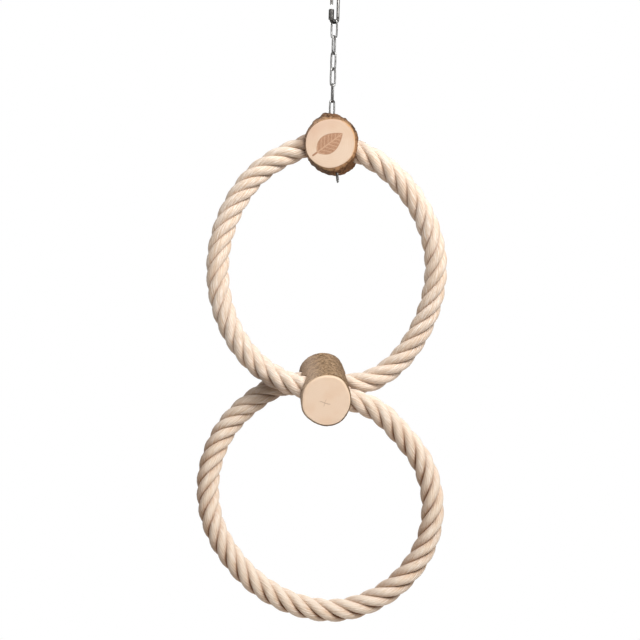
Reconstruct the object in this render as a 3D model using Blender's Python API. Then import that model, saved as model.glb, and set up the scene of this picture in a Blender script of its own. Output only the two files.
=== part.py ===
import math

import bmesh
import bpy
from mathutils import Matrix, Vector

MM = 0.001

# Gap between pieces that touch, and how far a cutter runs past the surface it opens
GAP = 0.3 * MM
CUT_PAST = 6.0 * MM

# Quick link: bent wire with a gate on its left leg and a sleeve nut screwed down under the gate,
# and a wide bend at the foot of its other leg
QUICK_WIRE = 3.4 * MM
QUICK_INNER_LENGTH = 29.0 * MM
QUICK_INNER_WIDTH = 10.0 * MM
QUICK_BEND_RADIUS = 2.6 * MM
QUICK_WIDE_BEND = 6.0 * MM
QUICK_TURN = 57.0
QUICK_BEND_STEPS = 6
GATE = 4.7 * MM
NUT_LENGTH = 11.6 * MM
NUT_ACROSS_FLATS = 5.4 * MM
NUT_TURN = 53.0
NUT_OVER_BEND = 0.6 * MM
NUT_CHAMFER = 0.7 * MM
ROD_RECESS = 0.5 * MM

# Chain: welded oval links, each turned about the chain's line by so many degrees
LINK_WIRE = 2.0 * MM
LINK_INNER_LENGTH = 17.9 * MM
LINK_OUTER_WIDTH = 8.2 * MM
LINK_SIDE_BULGE = 0.25 * MM
LINK_BOW_STEPS = 8
FREE_LINK_TURNS = (164, 64, 139, 38, 102, 38)
INNER_LINK_TURNS = (120, 60, 0)
TAIL_LINK_TURN = 98

# Top slice of branch wood, with its bark swelling in and out around a mean diameter
SLICE_DIAMETER = 62.0 * MM
SLICE_THICKNESS = 42.0 * MM
SLICE_DROP = 29.2 * MM
SLICE_YAW = -4.0
SLICE_SWELL = (-1.5, 0.3, 0.2, 1.9, -0.2, -1.9, -3.2, -1.2, -0.5, 1.4, 2.5, 1.8)
SLICE_BEVEL = 1.2 * MM
CHAIN_BORE = 11.0 * MM
CHAIN_BORE_LEAN = 7.0
BORE_MOUTH_FLARE = 2.2 * MM

# Pin across the slice, inside the lowest link that the slice hides
PIN_DIAMETER = 3.0 * MM
PIN_LENGTH = 36.0 * MM
PIN_RECESS = 0.5 * MM

# Rings, measured between the middle lines of the rope, and the height of the barrel between them
RING_WIDTH = 247.0 * MM
RINGS_DROP = 510.0 * MM
BARREL_SHARE = 0.5243

# Perch barrel: a short tapered branch length, nose down and turned a little
BARREL_LENGTH = 75.0 * MM
BARREL_FRONT_DIAMETER = 57.0 * MM
BARREL_REAR_DIAMETER = 55.0 * MM
BARREL_SWELL = (-1.4, -1.1, 1.2, 1.2, 0.8, 0.2, -1.3, 0.3, 0.2, 1.5, 1.5, -0.6)
BARREL_BEVEL = 0.9 * MM
BARREL_PITCH = 18.0
BARREL_YAW = 4.5
BORE_WALL = 3.3 * MM
FRONT_BORE_SLOPE = 14.0
REAR_BORE_SLOPE = 0.0

# Rope and its sockets in the slice, whose lines rise to the chain's line at these heights
ROPE_DIAMETER = 25.4 * MM
SOCKET_SLOPE = 24.0
LEFT_SOCKET_RISE = 10.0 * MM
RIGHT_SOCKET_RISE = 6.6 * MM
LEFT_SOCKET_END = 13.0 * MM
RIGHT_SOCKET_END = 19.2 * MM
MOUTH_CLEARANCE = 1.5 * MM
STEPS_PER_STRETCH = 2

# Nails that hold the rope in the wood
NAIL_LENGTH = 26.0 * MM
NAIL_SHANK = 2.2 * MM
NAIL_HEAD = 5.0 * MM
NAIL_HEAD_THICKNESS = 1.0 * MM
NAIL_POINT = 2.5 * MM
NAIL_RECESS = 0.2 * MM

ROUND_SIDES = 24
OUTLINE_SIDES = 48

# Route of the rope from the middle of the slice, in hundredths: x to the right and y to the back
# of the ring width, z up of the rings' drop
UPPER_LEFT_ROUTE = (
    (-21.7, -0.4, -2.9), (-33.7, -1.2, -7.4), (-42.5, -2.4, -14.0), (-47.9, -4.0, -22.5),
    (-47.5, -5.7, -32.2), (-40.5, -6.9, -41.3), (-27.9, -8.1, -48.2),
)
LOWER_ROUTE = (
    (23.5, -2.4, -56.8), (34.8, -1.6, -61.8), (44.9, -0.8, -68.2), (49.6, 0.0, -76.9),
    (47.4, 0.4, -84.9), (38.9, 0.4, -92.0), (25.2, 0.4, -97.5), (8.1, 0.0, -100.1),
    (-8.9, 0.0, -99.2), (-25.0, 0.0, -95.6), (-39.0, 0.0, -89.3), (-47.9, 0.4, -81.8),
    (-50.4, 1.2, -72.5), (-44.8, 2.4, -63.1), (-31.4, 3.6, -55.6), (-21.1, 4.0, -52.4),
)
UPPER_RIGHT_ROUTE = (
    (20.4, 6.9, -50.6), (31.8, 7.3, -46.8), (41.3, 6.5, -40.3), (47.3, 4.9, -32.0),
    (47.8, 3.2, -22.9), (42.5, 2.0, -15.0), (32.8, 0.8, -8.2), (21.3, 0.0, -3.5),
)

# Colours as linear red, green, blue, with roughness and metallic value
FINISHES = {
    "zinc steel": ((0.60, 0.59, 0.57), 0.32, 1.0),
    "nickel steel": ((0.66, 0.66, 0.66), 0.28, 1.0),
    "nail steel": ((0.42, 0.41, 0.40), 0.45, 1.0),
    "slice wood": ((0.80, 0.60, 0.43), 0.62, 0.0),
    "barrel wood": ((0.78, 0.57, 0.41), 0.60, 0.0),
    "cotton rope": ((0.76, 0.64, 0.49), 0.85, 0.0),
}


def clear_scene():
    for obj in list(bpy.data.objects):
        bpy.data.objects.remove(obj)


def finish_material(finish):
    colour, roughness, metallic = FINISHES[finish]
    material = bpy.data.materials.new(finish)
    material.use_nodes = True
    shader = material.node_tree.nodes["Principled BSDF"]
    shader.inputs["Base Color"].default_value = (*colour, 1.0)
    shader.inputs["Roughness"].default_value = roughness
    shader.inputs["Metallic"].default_value = metallic
    material.diffuse_color = (*colour, 1.0)
    return material


def add_object(name, data, parent=None, place=Matrix.Identity(4), finish=None):
    obj = bpy.data.objects.new(name, data)
    bpy.context.scene.collection.objects.link(obj)
    obj.parent = parent
    obj.matrix_local = place
    if finish and not data.materials:
        data.materials.append(finish_material(finish))
    return obj


def add_empty(name, parent=None, place=Matrix.Identity(4)):
    return add_object(name, None, parent, place)


def add_cutter(name, data, parent, place):
    cutter = add_object(name, data, parent, place)
    cutter.hide_render = True
    cutter.display_type = "WIRE"
    return cutter


def cut(obj, cutter, operation="DIFFERENCE"):
    modifier = obj.modifiers.new(cutter.name, "BOOLEAN")
    modifier.operation = operation
    modifier.object = cutter
    modifier.solver = "EXACT"


def smooth_mesh(mesh):
    mesh.shade_smooth()
    mesh.set_sharp_from_angle(angle=math.radians(35))


# A closed skin over a row of rings that have the same number of points
def loft(name, rings):
    bm = bmesh.new()
    loops = [[bm.verts.new(point) for point in ring] for ring in rings]
    count = len(loops[0])
    for low, high in zip(loops, loops[1:]):
        for i in range(count):
            j = (i + 1) % count
            bm.faces.new((low[i], low[j], high[j], high[i]))
    bm.faces.new(loops[0])
    bm.faces.new(loops[-1])
    bmesh.ops.recalc_face_normals(bm, faces=bm.faces)
    mesh = bpy.data.meshes.new(name)
    bm.to_mesh(mesh)
    bm.free()
    smooth_mesh(mesh)
    return mesh


# A turned piece about its own Z axis, from pairs of radius and height
def turned(name, profile, sides=ROUND_SIDES):
    step = 2 * math.pi / sides
    rings = []
    for radius, height in profile:
        rings.append([
            (radius * math.cos(i * step), radius * math.sin(i * step), height)
            for i in range(sides)
        ])
    return loft(name, rings)


# Radius of a grown outline at an angle, from its swell in millimetres at even steps round it
def grown_radius(mean, swell, angle):
    count = len(swell)
    place = angle / (2 * math.pi) * count
    i = math.floor(place)
    t = place - i
    before, here, after, beyond = (swell[(i + k) % count] for k in (-1, 0, 1, 2))
    slope_here = (after - before) / 2
    slope_after = (beyond - here) / 2
    bulge = (
        (2 * t**3 - 3 * t**2 + 1) * here
        + (t**3 - 2 * t**2 + t) * slope_here
        + (3 * t**2 - 2 * t**3) * after
        + (t**3 - t**2) * slope_after
    )
    return mean + bulge * MM


# A sawn length of branch about its own Y axis, with its front face at -Y and its edges eased
def branch(name, front_diameter, rear_diameter, length, swell, bevel):
    half = length / 2
    rings = []
    for y, inset in ((-half, bevel), (-half + bevel, 0), (half - bevel, 0), (half, bevel)):
        share = (y + half) / length
        mean = (front_diameter + (rear_diameter - front_diameter) * share) / 2 - inset
        ring = []
        for i in range(OUTLINE_SIDES):
            angle = 2 * math.pi * i / OUTLINE_SIDES
            radius = grown_radius(mean, swell, angle)
            ring.append((radius * math.cos(angle), y, radius * math.sin(angle)))
        rings.append(ring)
    return loft(name, rings)


def wire_curve(name, points, diameter, sides, closed):
    curve = bpy.data.curves.new(name, "CURVE")
    curve.dimensions = "3D"
    curve.bevel_depth = diameter / 2
    curve.bevel_resolution = sides // 2 - 2
    curve.use_fill_caps = not closed
    spline = curve.splines.new("POLY")
    spline.points.add(len(points) - 1)
    for target, point in zip(spline.points, points):
        target.co = (*point, 1.0)
    spline.use_cyclic_u = closed
    spline.use_smooth = True
    return curve


def arc(centre_x, centre_z, radius, start, end, steps):
    points = []
    for i in range(steps + 1):
        angle = math.radians(start + (end - start) * i / steps)
        points.append((centre_x + radius * math.cos(angle), 0, centre_z + radius * math.sin(angle)))
    return points


def turn_about(axis, degrees):
    return Matrix.Rotation(math.radians(degrees), 4, axis)


# Quick link, hanging from the inside of its top bow, which is the origin
QUICK_LEG = (QUICK_INNER_WIDTH + QUICK_WIRE) / 2
QUICK_TOP = QUICK_WIRE / 2
QUICK_BOTTOM = -QUICK_INNER_LENGTH - QUICK_WIRE / 2
NUT_FOOT = QUICK_BOTTOM + QUICK_BEND_RADIUS - NUT_OVER_BEND
NUT_TOP = NUT_FOOT + NUT_LENGTH


def make_quick_link(root):
    bend_x = QUICK_LEG - QUICK_BEND_RADIUS
    upper_z = QUICK_TOP - QUICK_BEND_RADIUS
    lower_z = QUICK_BOTTOM + QUICK_BEND_RADIUS
    points = [(-QUICK_LEG, 0, NUT_TOP - ROD_RECESS)]
    points += arc(-bend_x, lower_z, QUICK_BEND_RADIUS, 180, 270, QUICK_BEND_STEPS)
    wide_x = QUICK_LEG - QUICK_WIDE_BEND
    wide_z = QUICK_BOTTOM + QUICK_WIDE_BEND
    points += arc(wide_x, wide_z, QUICK_WIDE_BEND, 270, 360, QUICK_BEND_STEPS)
    points += arc(bend_x, upper_z, QUICK_BEND_RADIUS, 0, 90, QUICK_BEND_STEPS)
    points += arc(-bend_x, upper_z, QUICK_BEND_RADIUS, 90, 180, QUICK_BEND_STEPS)
    points.append((-QUICK_LEG, 0, NUT_TOP + GATE))
    wire = wire_curve("quick_link_wire", points, QUICK_WIRE, 12, closed=False)
    add_object("quick_link_body", wire, root, turn_about("Z", QUICK_TURN), "zinc steel")

    corner = NUT_ACROSS_FLATS / 2 / math.cos(math.pi / 6)
    prism = turned("quick_link_nut", ((corner, 0), (corner, NUT_LENGTH)), sides=6)
    leg = Vector((-QUICK_LEG, 0, NUT_FOOT))
    place = turn_about("Z", QUICK_TURN) @ Matrix.Translation(leg) @ turn_about("Z", NUT_TURN)
    nut = add_object("quick_link_nut", prism, root, place, "zinc steel")
    rim = NUT_ACROSS_FLATS / 2 - NUT_CHAMFER / 2
    easing = turned("nut_easing", (
        (rim, 0), (rim + NUT_CHAMFER, NUT_CHAMFER),
        (rim + NUT_CHAMFER, NUT_LENGTH - NUT_CHAMFER), (rim, NUT_LENGTH),
    ))
    cut(nut, add_cutter("nut_easing", easing, root, place), "INTERSECT")
    bore_radius = QUICK_WIRE / 2 + GAP
    bore = turned("nut_bore", ((bore_radius, -CUT_PAST), (bore_radius, NUT_LENGTH + CUT_PAST)))
    cut(nut, add_cutter("nut_bore", bore, root, place))


# Chain link with the middle of its top bow's wire at its origin
LINK_BOW_RADIUS = (LINK_OUTER_WIDTH - LINK_WIRE) / 2 - LINK_SIDE_BULGE
LINK_LENGTH = LINK_INNER_LENGTH + LINK_WIRE
LINK_HOLD = LINK_WIRE + GAP


def link_curve():
    top = -LINK_BOW_RADIUS
    bottom = LINK_BOW_RADIUS - LINK_LENGTH
    side = LINK_BOW_RADIUS + LINK_SIDE_BULGE
    points = arc(0, top, LINK_BOW_RADIUS, 0, 180, LINK_BOW_STEPS)
    points.append((-side, 0, (top + bottom) / 2))
    points += arc(0, bottom, LINK_BOW_RADIUS, 180, 360, LINK_BOW_STEPS)
    points.append((side, 0, (top + bottom) / 2))
    return wire_curve("chain_link", points, LINK_WIRE, 8, closed=True)


# Hangs a link from a hinge point and gives the hinge point of the next one
def hang_link(number, curve, turn, hinge, hold):
    place = turn_about("Z", turn) @ Matrix.Translation((0, 0, hold))
    add_object(f"chain_link_{number:02d}", curve, hinge, place, "nickel steel")
    return Matrix.Translation((0, 0, hold - LINK_LENGTH))


def make_free_chain(root, curve):
    hinge = add_empty("hinge_01", root, Matrix.Translation((0, 0, QUICK_BOTTOM)))
    hold = QUICK_WIRE / 2 + GAP + LINK_WIRE / 2
    for number, turn in enumerate(FREE_LINK_TURNS, 1):
        step = hang_link(number, curve, turn, hinge, hold)
        name = "swing" if number == len(FREE_LINK_TURNS) else f"hinge_{number + 1:02d}"
        hinge = add_empty(name, hinge, step)
        hold = LINK_HOLD
    return hinge


# The links inside the slice follow its leaning bore, and the last one hangs out of its lower mouth
def make_inner_chain(swing, curve):
    hinge = add_empty("chain_bore_line", swing, turn_about("Y", -CHAIN_BORE_LEAN))
    first = len(FREE_LINK_TURNS) + 1
    for number, turn in enumerate(INNER_LINK_TURNS, first):
        step = hang_link(number, curve, turn, hinge, LINK_HOLD)
        hinge = add_empty(f"hinge_{number + 1:02d}", hinge, step)
    hang_link(first + len(INNER_LINK_TURNS), curve, TAIL_LINK_TURN, hinge, LINK_HOLD)


# Distance of the pin down the bore's line: it lies on top of the last link's upper bow
def pin_drop():
    tail_hinge = len(INNER_LINK_TURNS) * (LINK_LENGTH - LINK_HOLD)
    return tail_hinge - LINK_HOLD - LINK_WIRE / 2 - GAP - PIN_DIAMETER / 2


def make_pin(grain, top_slice):
    lean = math.radians(CHAIN_BORE_LEAN)
    drop = pin_drop()
    across = Vector((drop * math.sin(lean), 0, SLICE_DROP - drop * math.cos(lean)))
    place = rear_face_place(across, PIN_RECESS)
    radius = PIN_DIAMETER / 2
    ease = radius / 4
    pin = turned("chain_pin", (
        (radius - ease, -PIN_LENGTH), (radius, ease - PIN_LENGTH),
        (radius, -ease), (radius - ease, 0),
    ))
    add_object("chain_pin", pin, grain, place, "nail steel")
    hole = turned("pin_hole", ((radius + GAP, -PIN_LENGTH - GAP), (radius + GAP, CUT_PAST)))
    cut(top_slice, add_cutter("pin_hole", hole, grain, place))


# Place on the rear face of the slice for a piece driven in along its -Z through a given point
def rear_face_place(point, recess):
    spot = turn_about("Z", -SLICE_YAW) @ point
    spot.y = SLICE_THICKNESS / 2 - recess
    return Matrix.Translation(spot) @ turn_about("X", -90)


# Outward line of a rope socket: left of the chain's line for side -1, right of it for +1
def socket_line(side):
    slope = math.radians(SOCKET_SLOPE)
    rise = LEFT_SOCKET_RISE if side < 0 else RIGHT_SOCKET_RISE
    end = LEFT_SOCKET_END if side < 0 else RIGHT_SOCKET_END
    outward = Vector((side * math.cos(slope), 0, -math.sin(slope)))
    start = Vector((0, 0, rise)) + outward * end
    swell = SLICE_SWELL[0] if side > 0 else SLICE_SWELL[len(SLICE_SWELL) // 2]
    reach = (SLICE_DIAMETER / 2 + swell * MM + MOUTH_CLEARANCE) / math.cos(slope)
    mouth = Vector((0, 0, rise)) + outward * reach
    return start, mouth, outward


def nail_mesh():
    shank = NAIL_SHANK / 2
    head = NAIL_HEAD / 2
    return turned("rope_nail", (
        (shank / 6, -NAIL_LENGTH), (shank, NAIL_POINT - NAIL_LENGTH),
        (shank, -NAIL_HEAD_THICKNESS), (head, -NAIL_HEAD_THICKNESS), (head, 0),
    ), sides=ROUND_SIDES // 2)


def nail_hole():
    shank = NAIL_SHANK / 2 + GAP
    head = NAIL_HEAD / 2 + GAP
    seat = -NAIL_HEAD_THICKNESS - GAP
    return turned("nail_hole", (
        (shank, -NAIL_LENGTH - GAP), (shank, seat), (head, seat), (head, CUT_PAST),
    ), sides=ROUND_SIDES // 2)


# Drives a nail through the wood into the rope, along the -Z of its place
def drive_nail(name, parent, place, wood, rope):
    add_object(name, nail_mesh(), parent, place, "nail steel")
    hole = add_cutter(name + "_hole", nail_hole(), parent, place)
    cut(wood, hole)
    cut(rope, hole)


def make_slice(swing):
    centre = add_empty("slice_centre", swing, Matrix.Translation((0, 0, -SLICE_DROP)))
    mesh = branch(
        "top_slice", SLICE_DIAMETER, SLICE_DIAMETER, SLICE_THICKNESS, SLICE_SWELL, SLICE_BEVEL
    )
    grain = add_empty("slice_grain", centre, turn_about("Z", SLICE_YAW))
    top_slice = add_object("top_slice", mesh, grain, finish="slice wood")

    radius = ROPE_DIAMETER / 2 + GAP
    for side, name in ((-1, "left_socket"), (1, "right_socket")):
        start, mouth, outward = socket_line(side)
        depth = (mouth - start).length
        socket = turned(name, ((radius, -GAP), (radius, depth + CUT_PAST)), sides=ROUND_SIDES + 8)
        place = Matrix.Translation(start) @ outward.to_track_quat("Z", "Y").to_matrix().to_4x4()
        cut(top_slice, add_cutter(name, socket, centre, place))

    bore = CHAIN_BORE / 2
    quarter = len(SLICE_SWELL) // 4
    upper = SLICE_DIAMETER / 2 + SLICE_SWELL[quarter] * MM - SLICE_DROP
    lower = -SLICE_DIAMETER / 2 - SLICE_SWELL[3 * quarter] * MM - SLICE_DROP
    flare = BORE_MOUTH_FLARE
    chain_bore = turned("chain_bore", (
        (bore + flare + CUT_PAST, lower - CUT_PAST), (bore, lower + flare),
        (bore, upper - flare), (bore + flare + CUT_PAST, upper + CUT_PAST),
    ))
    cut(top_slice, add_cutter("chain_bore", chain_bore, swing, turn_about("Y", -CHAIN_BORE_LEAN)))
    return centre, grain, top_slice


def barrel_place():
    turn = turn_about("Z", BARREL_YAW) @ turn_about("X", BARREL_PITCH)
    return Matrix.Translation((0, 0, -BARREL_SHARE * RINGS_DROP)) @ turn


BORE_OFFSET = (ROPE_DIAMETER + 2 * GAP + BORE_WALL) / 2
BORES = {"front": (-BORE_OFFSET, FRONT_BORE_SLOPE), "rear": (BORE_OFFSET, REAR_BORE_SLOPE)}


# Left mouth, right mouth and direction of a barrel bore, from the middle of the slice
def bore_line(which):
    offset, slope = BORES[which]
    place = barrel_place() @ Matrix.Translation((0, offset, 0)) @ turn_about("Y", slope)
    reach = BARREL_FRONT_DIAMETER / 2 + MOUTH_CLEARANCE
    left = place @ Vector((-reach, 0, 0))
    right = place @ Vector((reach, 0, 0))
    return left, right, (right - left).normalized()


def make_barrel(centre):
    frame = add_empty("barrel_frame", centre, barrel_place())
    mesh = branch(
        "perch_barrel", BARREL_FRONT_DIAMETER, BARREL_REAR_DIAMETER, BARREL_LENGTH,
        BARREL_SWELL, BARREL_BEVEL,
    )
    barrel = add_object("perch_barrel", mesh, frame, finish="barrel wood")
    radius = ROPE_DIAMETER / 2 + GAP
    reach = BARREL_FRONT_DIAMETER / 2 + CUT_PAST
    for name, (offset, slope) in BORES.items():
        bore = turned(name + "_bore", ((radius, -reach), (radius, reach)), sides=ROUND_SIDES + 8)
        place = Matrix.Translation((0, offset, 0)) @ turn_about("Y", slope) @ turn_about("Y", 90)
        cut(barrel, add_cutter(name + "_bore", bore, frame, place))
    return frame, barrel


# Points of the rope on a smooth curve through its route, straight where wood holds it
def rope_points():
    left_start, left_mouth, left_out = socket_line(-1)
    right_start, right_mouth, right_out = socket_line(1)
    front_left, front_right, front_way = bore_line("front")
    rear_left, rear_right, rear_way = bore_line("rear")
    stretches = (
        (left_mouth, left_out, UPPER_LEFT_ROUTE, front_left, front_way),
        (front_right, front_way, LOWER_ROUTE, rear_left, rear_way),
        (rear_right, rear_way, UPPER_RIGHT_ROUTE, right_mouth, -right_out),
    )
    points = [left_start]
    for start, way_out, route, end, way_in in stretches:
        stops = [start, *(route_stop(stop) for stop in route), end]
        points += smooth_stretch(stops, way_out, way_in)
    points.append(right_start)
    return points


def route_stop(shares):
    x, y, z = (share / 100 for share in shares)
    return Vector((x * RING_WIDTH, y * RING_WIDTH, z * RINGS_DROP))


def smooth_stretch(stops, way_out, way_in):
    runs = [after - before for before, after in zip(stops, stops[1:])]
    ways = [way_out]
    for before, after in zip(runs, runs[1:]):
        near, far = before.length, after.length
        ways.append((before / near * far + after / far * near) / (near + far))
    ways.append(way_in)
    points = [stops[0]]
    for i, run in enumerate(runs):
        for step in range(1, STEPS_PER_STRETCH + 1):
            t = step / STEPS_PER_STRETCH
            points.append(
                stops[i] * (2 * t**3 - 3 * t**2 + 1)
                + ways[i] * run.length * (t**3 - 2 * t**2 + t)
                + stops[i + 1] * (3 * t**2 - 2 * t**3)
                + ways[i + 1] * run.length * (t**3 - t**2)
            )
    return points


def make_rope(centre):
    curve = wire_curve("rope_line", rope_points(), ROPE_DIAMETER, 12, closed=False)
    line = add_object("rope_line", curve, centre)
    tube = bpy.data.meshes.new_from_object(line.evaluated_get(bpy.context.evaluated_depsgraph_get()))
    bpy.data.objects.remove(line)
    tube.name = "rope"
    smooth_mesh(tube)
    return add_object("rope", tube, centre, finish="cotton rope")


def nail_slice(grain, top_slice, rope):
    for side, name in ((-1, "rope_nail_left"), (1, "rope_nail_right")):
        start, mouth, _ = socket_line(side)
        place = rear_face_place((start + mouth) / 2, NAIL_RECESS)
        drive_nail(name, grain, place, top_slice, rope)


def nail_barrel(frame, barrel, rope):
    lowest = 3 * len(BARREL_SWELL) // 4
    for name, (offset, _) in BORES.items():
        share = (offset + BARREL_LENGTH / 2) / BARREL_LENGTH
        wide = BARREL_FRONT_DIAMETER + (BARREL_REAR_DIAMETER - BARREL_FRONT_DIAMETER) * share
        depth = wide / 2 + BARREL_SWELL[lowest] * MM - NAIL_RECESS
        place = Matrix.Translation((0, offset, -depth)) @ turn_about("X", 180)
        drive_nail(f"barrel_nail_{name}", frame, place, barrel, rope)


def main():
    clear_scene()
    root = add_empty("hang_point")
    make_quick_link(root)
    chain_link = link_curve()
    swing = make_free_chain(root, chain_link)
    make_inner_chain(swing, chain_link)
    centre, grain, top_slice = make_slice(swing)
    make_pin(grain, top_slice)
    frame, barrel = make_barrel(centre)
    rope = make_rope(centre)
    nail_slice(grain, top_slice, rope)
    nail_barrel(frame, barrel, rope)


main()
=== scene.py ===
import math

import bmesh
import bpy
from mathutils import Matrix, Vector, noise


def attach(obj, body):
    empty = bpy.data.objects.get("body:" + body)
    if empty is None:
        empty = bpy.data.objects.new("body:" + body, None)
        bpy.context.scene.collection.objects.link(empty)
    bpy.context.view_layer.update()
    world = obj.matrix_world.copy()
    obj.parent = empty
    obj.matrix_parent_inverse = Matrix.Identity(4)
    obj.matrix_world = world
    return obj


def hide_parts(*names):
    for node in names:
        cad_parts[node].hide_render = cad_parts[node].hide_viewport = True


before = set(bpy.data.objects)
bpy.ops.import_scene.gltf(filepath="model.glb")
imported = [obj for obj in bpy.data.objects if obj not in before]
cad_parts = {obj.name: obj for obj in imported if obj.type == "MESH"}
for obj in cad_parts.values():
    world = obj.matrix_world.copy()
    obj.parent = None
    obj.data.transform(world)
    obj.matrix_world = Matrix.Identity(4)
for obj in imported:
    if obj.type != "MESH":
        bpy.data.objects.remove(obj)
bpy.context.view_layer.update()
mm = 0.001
fullTurn = 2 * math.pi
print("frame loaded:", len(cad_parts), "nodes")


# nodes written as sums

class Wire:
    def __init__(self, tree, socket):
        self.tree = tree
        self.socket = socket

    def other(self, name):  # another output of the same node
        return Wire(self.tree, self.socket.node.outputs[name])

    def join(self, operation, first, second):
        flat = [isinstance(x, (int, float)) or isinstance(x, Wire) and x.socket.type not in ("VECTOR", "RGBA")
                for x in (first, second)]
        if all(flat):
            return self.tree.make("ShaderNodeMath", {"operation": operation}, {0: first, 1: second})
        if any(flat):  # a vector times a value
            vector, value = (second, first) if flat[0] else (first, second)
            return self.tree.make("ShaderNodeVectorMath", {"operation": "SCALE"}, {0: vector, "Scale": value})
        return self.tree.make("ShaderNodeVectorMath", {"operation": operation}, {0: first, 1: second})

    def __add__(self, other):
        return self.join("ADD", self, other)

    __radd__ = __add__

    def __sub__(self, other):
        return self.join("SUBTRACT", self, other)

    def __rsub__(self, other):
        return self.join("SUBTRACT", other, self)

    def __mul__(self, other):
        return self.join("MULTIPLY", self, other)

    __rmul__ = __mul__

    def __truediv__(self, other):
        return self.join("DIVIDE", self, other)

    def __rtruediv__(self, other):
        return self.join("DIVIDE", other, self)

    def __pow__(self, other):
        return self.join("POWER", self, other)

    def __abs__(self):
        return self.tree.maths("ABSOLUTE", self)


class Tree:
    def __init__(self, group):
        self.group = group

    def make(self, kind, settings=None, values=None, out=0):
        node = self.group.nodes.new(kind)
        for name, value in (settings or {}).items():
            setattr(node, name, value)
        for name, value in (values or {}).items():
            if isinstance(value, Wire):
                self.group.links.new(value.socket, node.inputs[name])
            else:
                node.inputs[name].default_value = value
        return Wire(self, node.outputs[out]) if node.outputs else None

    def maths(self, operation, *values):
        return self.make("ShaderNodeMath", {"operation": operation}, dict(enumerate(values)))

    def vectors(self, operation, *values, out=0):
        return self.make("ShaderNodeVectorMath", {"operation": operation}, dict(enumerate(values)), out)

    def ramp(self, value, low, high):  # 0 at low, 1 at high, eased between
        return self.make("ShaderNodeMapRange", {"interpolation_type": "SMOOTHSTEP"},
                         {"Value": value, "From Min": low, "From Max": high})

    def blend(self, share, first, second):  # colours
        return self.make("ShaderNodeMix", {"data_type": "RGBA"}, {0: share, 6: first, 7: second}, 2)

    def coats(self, colour, *layers):  # shares and colours, from the first coat to the last
        for share, coat in layers:
            colour = self.blend(share, colour, coat)
        return colour

    def grain(self, place, scale, detail, roughness=0.5):
        return self.make("ShaderNodeTexNoise", None,
                         {"Vector": place, "Scale": scale, "Detail": detail, "Roughness": roughness})

    def cells(self, place, scale):
        return self.make("ShaderNodeTexVoronoi", None, {"Vector": place, "Scale": scale})

    def local(self, place):  # Object coordinates as millimetres in a piece's own frame
        spot, turn, _ = place.decompose()
        return self.make("ShaderNodeMapping", {"vector_type": "TEXTURE"}, {
            "Vector": self.make("ShaderNodeTexCoord", out="Object"),
            "Location": spot, "Rotation": turn.to_euler(), "Scale": (mm, mm, mm)})

    def millimetres(self):  # Object coordinates as millimetres in the whole object's frame
        return self.make("ShaderNodeTexCoord", out="Object") * (1 / mm)

    def mark(self, name, out="Fac"):  # a value that the mesh carries
        return self.make("ShaderNodeAttribute", {"attribute_name": name}, out=out)

    def seen(self):  # 1 for what the camera itself looks at
        return self.make("ShaderNodeLightPath", out="Is Camera Ray")

    def reach(self, a, b):  # distance from the middle, from two offsets
        return self.maths("SQRT", a * a + b * b)

    def waves(self, angle):
        return self.maths("SINE", angle), self.maths("COSINE", angle)

    def vector(self, x=0.0, y=0.0, z=0.0):
        return self.make("ShaderNodeCombineXYZ", None, {0: x, 1: y, 2: z})

    def split(self, vector):
        parts = self.make("ShaderNodeSeparateXYZ", None, {0: vector})
        return parts, parts.other("Y"), parts.other("Z")

    def bump(self, height, distance, strength):
        return self.make("ShaderNodeBump", None,
                         {"Height": height, "Distance": distance, "Strength": strength}, "Normal")


def turned(degrees, axis):
    return Matrix.Rotation(math.radians(degrees), 4, axis)


def fullRound(count):  # that many angles, once round
    return [fullTurn * i / count for i in range(count)]


def eased(t, start, wayOut, end, wayIn):  # a smooth way from start to end, t from 0 to 1
    return (start * (2 * t**3 - 3 * t**2 + 1) + wayOut * (t**3 - 2 * t**2 + t)
            + end * (3 * t**2 - 2 * t**3) + wayIn * (t**3 - t**2))


def tone(*parts):  # screen colour, 0 to 255, as a linear one
    shares = [part / 255 for part in parts]
    return (*(s / 12.92 if s <= 0.04045 else ((s + 0.055) / 1.055) ** 2.4 for s in shares), 1.0)


def newFinish(name):
    material = bpy.data.materials.new(name)
    material.use_nodes = True
    material.node_tree.nodes.clear()
    return material, Tree(material.node_tree)


def paint(tree, values):
    shader = tree.make("ShaderNodeBsdfPrincipled", None, values)
    tree.make("ShaderNodeOutputMaterial", None, {"Surface": shader})


# shapes made by geometry nodes, kept as plain meshes

def startShape(name, sizes):
    group = bpy.data.node_groups.new(name, "GeometryNodeTree")
    group.interface.new_socket("Geometry", in_out="OUTPUT", socket_type="NodeSocketGeometry")
    group.interface.new_socket("Geometry", in_out="INPUT", socket_type="NodeSocketGeometry")
    for label, value in sizes.items():
        kind = "NodeSocketInt" if isinstance(value, int) else "NodeSocketFloat"
        group.interface.new_socket(label, in_out="INPUT", socket_type=kind)
    tree = Tree(group)
    entry = tree.make("NodeGroupInput")
    return tree, {label: entry.other(label) for label in ("Geometry", *sizes)}


def endShape(tree, shape, material):
    smooth = tree.make("GeometryNodeSetShadeSmooth", None, {"Geometry": shape})
    whole = tree.make("GeometryNodeRealizeInstances", None, {"Geometry": smooth})
    painted = tree.make("GeometryNodeSetMaterial", None, {"Geometry": whole, "Material": material})
    tree.make("NodeGroupOutput", None, {0: painted})
    return tree.group


def keep(tree, shape, marks):  # named values on the points
    for name, value in marks.items():
        kind = "FLOAT_VECTOR" if value.socket.type == "VECTOR" else "FLOAT"
        shape = tree.make("GeometryNodeStoreNamedAttribute", {"data_type": kind, "domain": "POINT"},
                          {"Geometry": shape, "Name": name, "Value": value})
    return shape


def kept(tree, name, kind="FLOAT"):
    return tree.make("GeometryNodeInputNamedAttribute", {"data_type": kind}, {"Name": name})


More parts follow.
